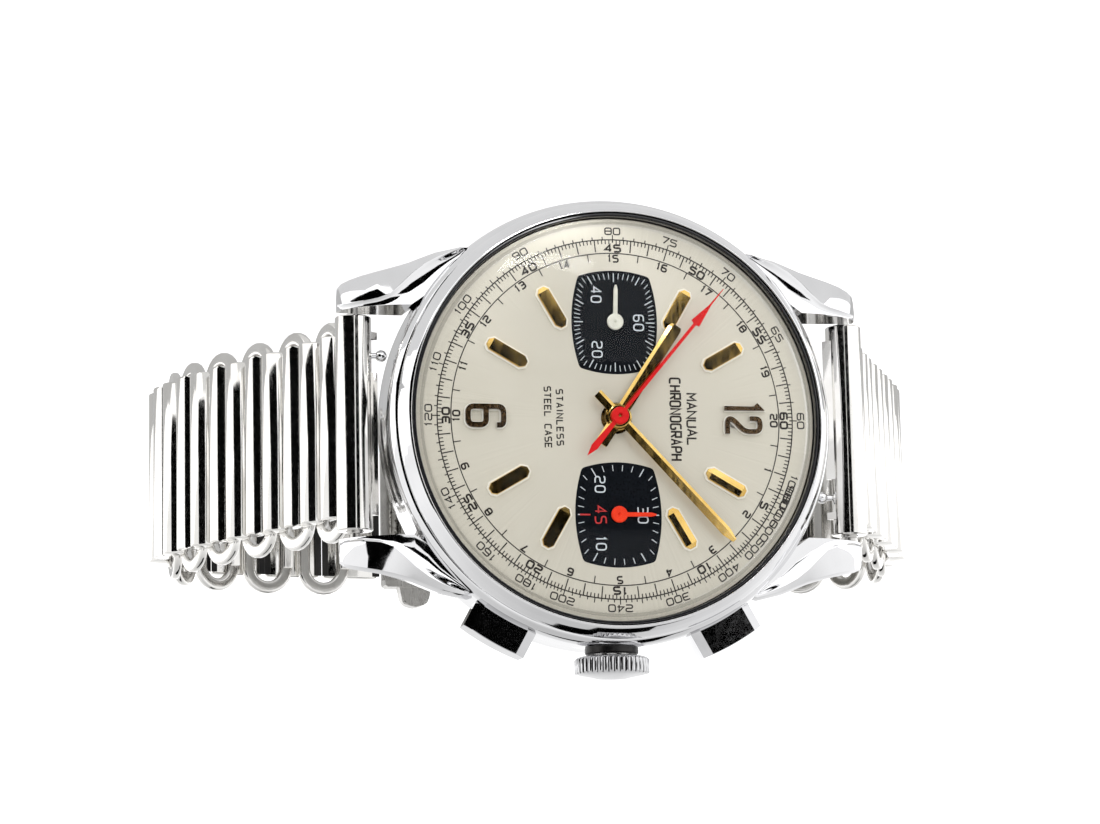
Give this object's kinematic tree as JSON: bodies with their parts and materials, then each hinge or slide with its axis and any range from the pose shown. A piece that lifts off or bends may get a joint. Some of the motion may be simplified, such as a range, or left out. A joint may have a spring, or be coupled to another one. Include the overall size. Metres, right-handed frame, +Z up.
{
  "type": "mechanical wrist chronograph",
  "caption": "Mechanical wrist chronograph with two small dials, two pushers, a crown and a closed ring-link metal bracelet, lying on its side.",
  "frame": {"origin": "middle of the outer box on the surface that the watch lies on", "axes": "+Z up, towards the crown; +X towards 6 o'clock; the dial faces -Y and leans back 10.4 degrees; the bracelet's loop lies behind it along +Y"},
  "size_m": [0.0692, 0.0552, 0.0399],
  "materials": {
    "case_steel": "mirror polished steel",
    "black_ring": "gloss black",
    "crystal": "clear domed acrylic",
    "gasket": "matt rubber",
    "dial": "sunburst silvered, printed",
    "gold": "polished gilt",
    "numeral": "dark polished, pale edge",
    "red_hand": "red lacquer",
    "orange_hand": "orange-red lacquer",
    "white_hand": "white lacquer",
    "movement_brass": "gilt plate",
    "movement_steel": "grained steel",
    "bracelet_steel": "polished steel",
    "clasp_steel": "stamped stainless steel"
  },
  "bodies": {
    "case": {"case_middle": "case_steel", "bezel": "case_steel", "crystal_ring": "black_ring", "crystal": "crystal", "case_back": "case_steel", "case_back_gasket": "gasket", "dial": "dial", "marker_1": "gold", "marker_2": "gold", "marker_4": "gold", "marker_5": "gold", "marker_7": "gold", "marker_8": "gold", "marker_10": "gold", "marker_11": "gold", "numeral_12_one": "numeral", "numeral_12_two": "numeral", "numeral_6": "numeral", "main_plate": "movement_brass", "train_bridge": "movement_steel", "balance_cock": "movement_steel", "crown_tube": "case_steel", "start_pusher_spring": "movement_steel", "reset_pusher_spring": "movement_steel"},
    "hour_hand": {"hour_hand": "gold"},
    "minute_hand": {"minute_hand": "gold"},
    "chrono_seconds": {"chrono_seconds_hand": "red_hand", "chrono_wheel": "movement_brass"},
    "minute_counter": {"minute_counter_hand": "orange_hand", "minute_counter_wheel": "movement_brass"},
    "running_seconds": {"running_seconds_hand": "white_hand", "fourth_wheel": "movement_brass"},
    "third_wheel": {"third_wheel": "movement_brass"},
    "center_wheel": {"center_wheel": "movement_brass"},
    "mainspring_barrel": {"mainspring_barrel": "movement_brass"},
    "escape_wheel": {"escape_wheel": "movement_brass"},
    "pallet_fork": {"pallet_fork": "movement_steel"},
    "balance_wheel": {"balance_wheel": "movement_brass"},
    "crown_slide": {"setting_lever": "movement_steel"},
    "crown": {"crown": "case_steel", "winding_stem": "movement_steel"},
    "start_pusher": {"start_pusher": "case_steel"},
    "reset_pusher": {"reset_pusher": "case_steel"},
    "end_link_12": {"end_link_12": "bracelet_steel", "spring_bar_12": "bracelet_steel"},
    "release_knob_12": {"release_knob_12": "bracelet_steel"},
    "link_12_1": {"link_12_1": "bracelet_steel"},
    "link_12_2": {"link_12_2": "bracelet_steel"},
    "link_12_3": {"link_12_3": "bracelet_steel"},
    "link_12_4": {"link_12_4": "bracelet_steel"},
    "end_link_6": {"end_link_6": "bracelet_steel", "spring_bar_6": "bracelet_steel"},
    "release_knob_6": {"release_knob_6": "bracelet_steel"},
    "link_6_1": {"link_6_1": "bracelet_steel"},
    "link_6_2": {"link_6_2": "bracelet_steel"},
    "link_6_3": {"link_6_3": "bracelet_steel"},
    "link_6_4": {"link_6_4": "bracelet_steel"},
    "clasp_cover": {"clasp_cover": "bracelet_steel"},
    "clasp_middle_leaf": {"clasp_middle_leaf": "clasp_steel"},
    "clasp_inner_leaf": {"clasp_inner_leaf": "clasp_steel"}
  },
  "joints": [
    {"name": "minute_hand_turn", "type": "hinge", "parent": "case", "child": "minute_hand", "pos_m": [0, -0.02255, 0.01951], "axis": [0, 0.9836, -0.1805], "continuous": true},
    {"name": "hour_hand_turn", "type": "hinge", "parent": "case", "child": "hour_hand", "pos_m": [0, -0.02255, 0.01951], "axis": [0, 0.9836, -0.1805], "continuous": true},
    {"name": "chrono_seconds_turn", "type": "hinge", "parent": "case", "child": "chrono_seconds", "pos_m": [0, -0.02255, 0.01951], "axis": [0, 0.9836, -0.1805], "continuous": true},
    {"name": "minute_counter_turn", "type": "hinge", "parent": "case", "child": "minute_counter", "pos_m": [0, -0.02111, 0.02738], "axis": [0, 0.9836, -0.1805], "continuous": true},
    {"name": "running_seconds_turn", "type": "hinge", "parent": "case", "child": "running_seconds", "pos_m": [0, -0.02399, 0.01164], "axis": [0, 0.9836, -0.1805], "continuous": true},
    {"name": "third_wheel_turn", "type": "hinge", "parent": "case", "child": "third_wheel", "pos_m": [0.00265, -0.02332, 0.01534], "axis": [0, 0.9836, -0.1805], "continuous": true},
    {"name": "center_wheel_turn", "type": "hinge", "parent": "case", "child": "center_wheel", "pos_m": [0, -0.02255, 0.01951], "axis": [0, 0.9836, -0.1805], "continuous": true},
    {"name": "barrel_turn", "type": "hinge", "parent": "case", "child": "mainspring_barrel", "pos_m": [-0.0057, -0.02185, 0.02335], "axis": [0, 0.9836, -0.1805], "continuous": true},
    {"name": "escape_wheel_turn", "type": "hinge", "parent": "case", "child": "escape_wheel", "pos_m": [0.00395, -0.02425, 0.01023], "axis": [0, 0.9836, -0.1805], "continuous": true},
    {"name": "balance_turn", "type": "hinge", "parent": "case", "child": "balance_wheel", "pos_m": [0.0103, -0.02262, 0.01912], "axis": [0, 0.9836, -0.1805], "range_deg": [-135, 135], "stiffness_Nm_per_rad": 0.00002},
    {"name": "pallet_fork_turn", "type": "hinge", "parent": "case", "child": "pallet_fork", "pos_m": [0.0066, -0.02387, 0.01233], "axis": [0, 0.9836, -0.1805], "range_deg": [-5, 5]},
    {"name": "crown_pull", "type": "slide", "parent": "case", "child": "crown_slide", "axis": [0, 0.1805, 0.9836], "range_m": [0, 0.0012]},
    {"name": "crown_turn", "type": "hinge", "parent": "crown_slide", "child": "crown", "pos_m": [0, -0.01553, 0.03784], "axis": [0, 0.1805, 0.9836], "continuous": true},
    {"name": "start_pusher_press", "type": "slide", "parent": "case", "child": "start_pusher", "axis": [0.4848, -0.1579, -0.8603], "range_m": [0, 0.0005], "stiffness_N_per_m": 1500, "springref_m": -0.0008},
    {"name": "reset_pusher_press", "type": "slide", "parent": "case", "child": "reset_pusher", "axis": [-0.4848, -0.1579, -0.8603], "range_m": [0, 0.0005], "stiffness_N_per_m": 1500, "springref_m": -0.0008},
    {"name": "bracelet_12_open", "type": "hinge", "parent": "case", "child": "end_link_12", "pos_m": [-0.021, -0.01783, 0.01865], "axis": [0, 0.1805, 0.9836], "range_deg": [0, 24]},
    {"name": "release_knob_12_slide", "type": "slide", "parent": "end_link_12", "child": "release_knob_12", "axis": [0, -0.1805, -0.9836], "range_m": [0, 0.0008], "stiffness_N_per_m": 800, "springref_m": -0.0006},
    {"name": "link_12_1_turn", "type": "hinge", "parent": "end_link_12", "child": "link_12_1", "pos_m": [-0.02141, -0.01477, 0.01808], "axis": [0, 0.1805, 0.9836], "range_deg": [0, 12]},
    {"name": "link_12_2_turn", "type": "hinge", "parent": "link_12_1", "child": "link_12_2", "pos_m": [-0.02602, -0.00536, 0.01636], "axis": [0, 0.1805, 0.9836], "range_deg": [0, 12]},
    {"name": "link_12_3_turn", "type": "hinge", "parent": "link_12_2", "child": "link_12_3", "pos_m": [-0.03075, 0.00447, 0.01455], "axis": [0, 0.1805, 0.9836], "range_deg": [0, 12]},
    {"name": "link_12_4_turn", "type": "hinge", "parent": "link_12_3", "child": "link_12_4", "pos_m": [-0.0292, 0.01885, 0.01191], "axis": [0, 0.1805, 0.9836], "range_deg": [0, 12]},
    {"name": "bracelet_6_open", "type": "hinge", "parent": "case", "child": "end_link_6", "pos_m": [0.021, -0.01783, 0.01865], "axis": [0, -0.1805, -0.9836], "range_deg": [0, 24]},
    {"name": "release_knob_6_slide", "type": "slide", "parent": "end_link_6", "child": "release_knob_6", "axis": [0, 0.1805, 0.9836], "range_m": [0, 0.0008], "stiffness_N_per_m": 800, "springref_m": -0.0006},
    {"name": "link_6_1_turn", "type": "hinge", "parent": "end_link_6", "child": "link_6_1", "pos_m": [0.02141, -0.01477, 0.01808], "axis": [0, -0.1805, -0.9836], "range_deg": [0, 12]},
    {"name": "link_6_2_turn", "type": "hinge", "parent": "link_6_1", "child": "link_6_2", "pos_m": [0.02602, -0.00536, 0.01636], "axis": [0, -0.1805, -0.9836], "range_deg": [0, 12]},
    {"name": "link_6_3_turn", "type": "hinge", "parent": "link_6_2", "child": "link_6_3", "pos_m": [0.03075, 0.00447, 0.01455], "axis": [0, -0.1805, -0.9836], "range_deg": [0, 12]},
    {"name": "link_6_4_turn", "type": "hinge", "parent": "link_6_3", "child": "link_6_4", "pos_m": [0.0292, 0.01885, 0.01191], "axis": [0, -0.1805, -0.9836], "range_deg": [0, 12]},
    {"name": "clasp_cover_turn", "type": "hinge", "parent": "link_12_4", "child": "clasp_cover", "pos_m": [-0.0106, 0.02466, 0.01085], "axis": [0, 0.1805, 0.9836], "range_deg": [0, 12]},
    {"name": "clasp_open", "type": "hinge", "parent": "clasp_cover", "child": "clasp_middle_leaf", "pos_m": [0.0104, 0.02466, 0.01085], "axis": [0, 0.1805, 0.9836], "range_deg": [0, 60]},
    {"name": "clasp_fold", "type": "hinge", "parent": "clasp_middle_leaf", "child": "clasp_inner_leaf", "pos_m": [-0.008, 0.02382, 0.011], "axis": [0, -0.1805, -0.9836], "range_deg": [0, 60]}
  ],
  "couplings": [
    {"joint": "hour_hand_turn", "follows": "minute_hand_turn", "ratio": 0.083333},
    {"joint": "minute_counter_turn", "follows": "chrono_seconds_turn", "ratio": 0.033333},
    {"joint": "third_wheel_turn", "follows": "running_seconds_turn", "ratio": -0.13333},
    {"joint": "center_wheel_turn", "follows": "running_seconds_turn", "ratio": 0.016667},
    {"joint": "barrel_turn", "follows": "running_seconds_turn", "ratio": -0.0027778},
    {"joint": "escape_wheel_turn", "follows": "running_seconds_turn", "ratio": -10},
    {"joint": "pallet_fork_turn", "follows": "balance_turn", "ratio": -0.037037},
    {"joint": "link_12_1_turn", "follows": "bracelet_12_open", "ratio": 0.5},
    {"joint": "link_12_2_turn", "follows": "bracelet_12_open", "ratio": 0.5},
    {"joint": "link_12_3_turn", "follows": "bracelet_12_open", "ratio": 0.5},
    {"joint": "link_12_4_turn", "follows": "bracelet_12_open", "ratio": 0.5},
    {"joint": "link_6_1_turn", "follows": "bracelet_6_open", "ratio": 0.5},
    {"joint": "link_6_2_turn", "follows": "bracelet_6_open", "ratio": 0.5},
    {"joint": "link_6_3_turn", "follows": "bracelet_6_open", "ratio": 0.5},
    {"joint": "link_6_4_turn", "follows": "bracelet_6_open", "ratio": 0.5},
    {"joint": "clasp_cover_turn", "follows": "bracelet_12_open", "ratio": 0.5},
    {"joint": "clasp_fold", "follows": "clasp_open", "ratio": 1}
  ]
}
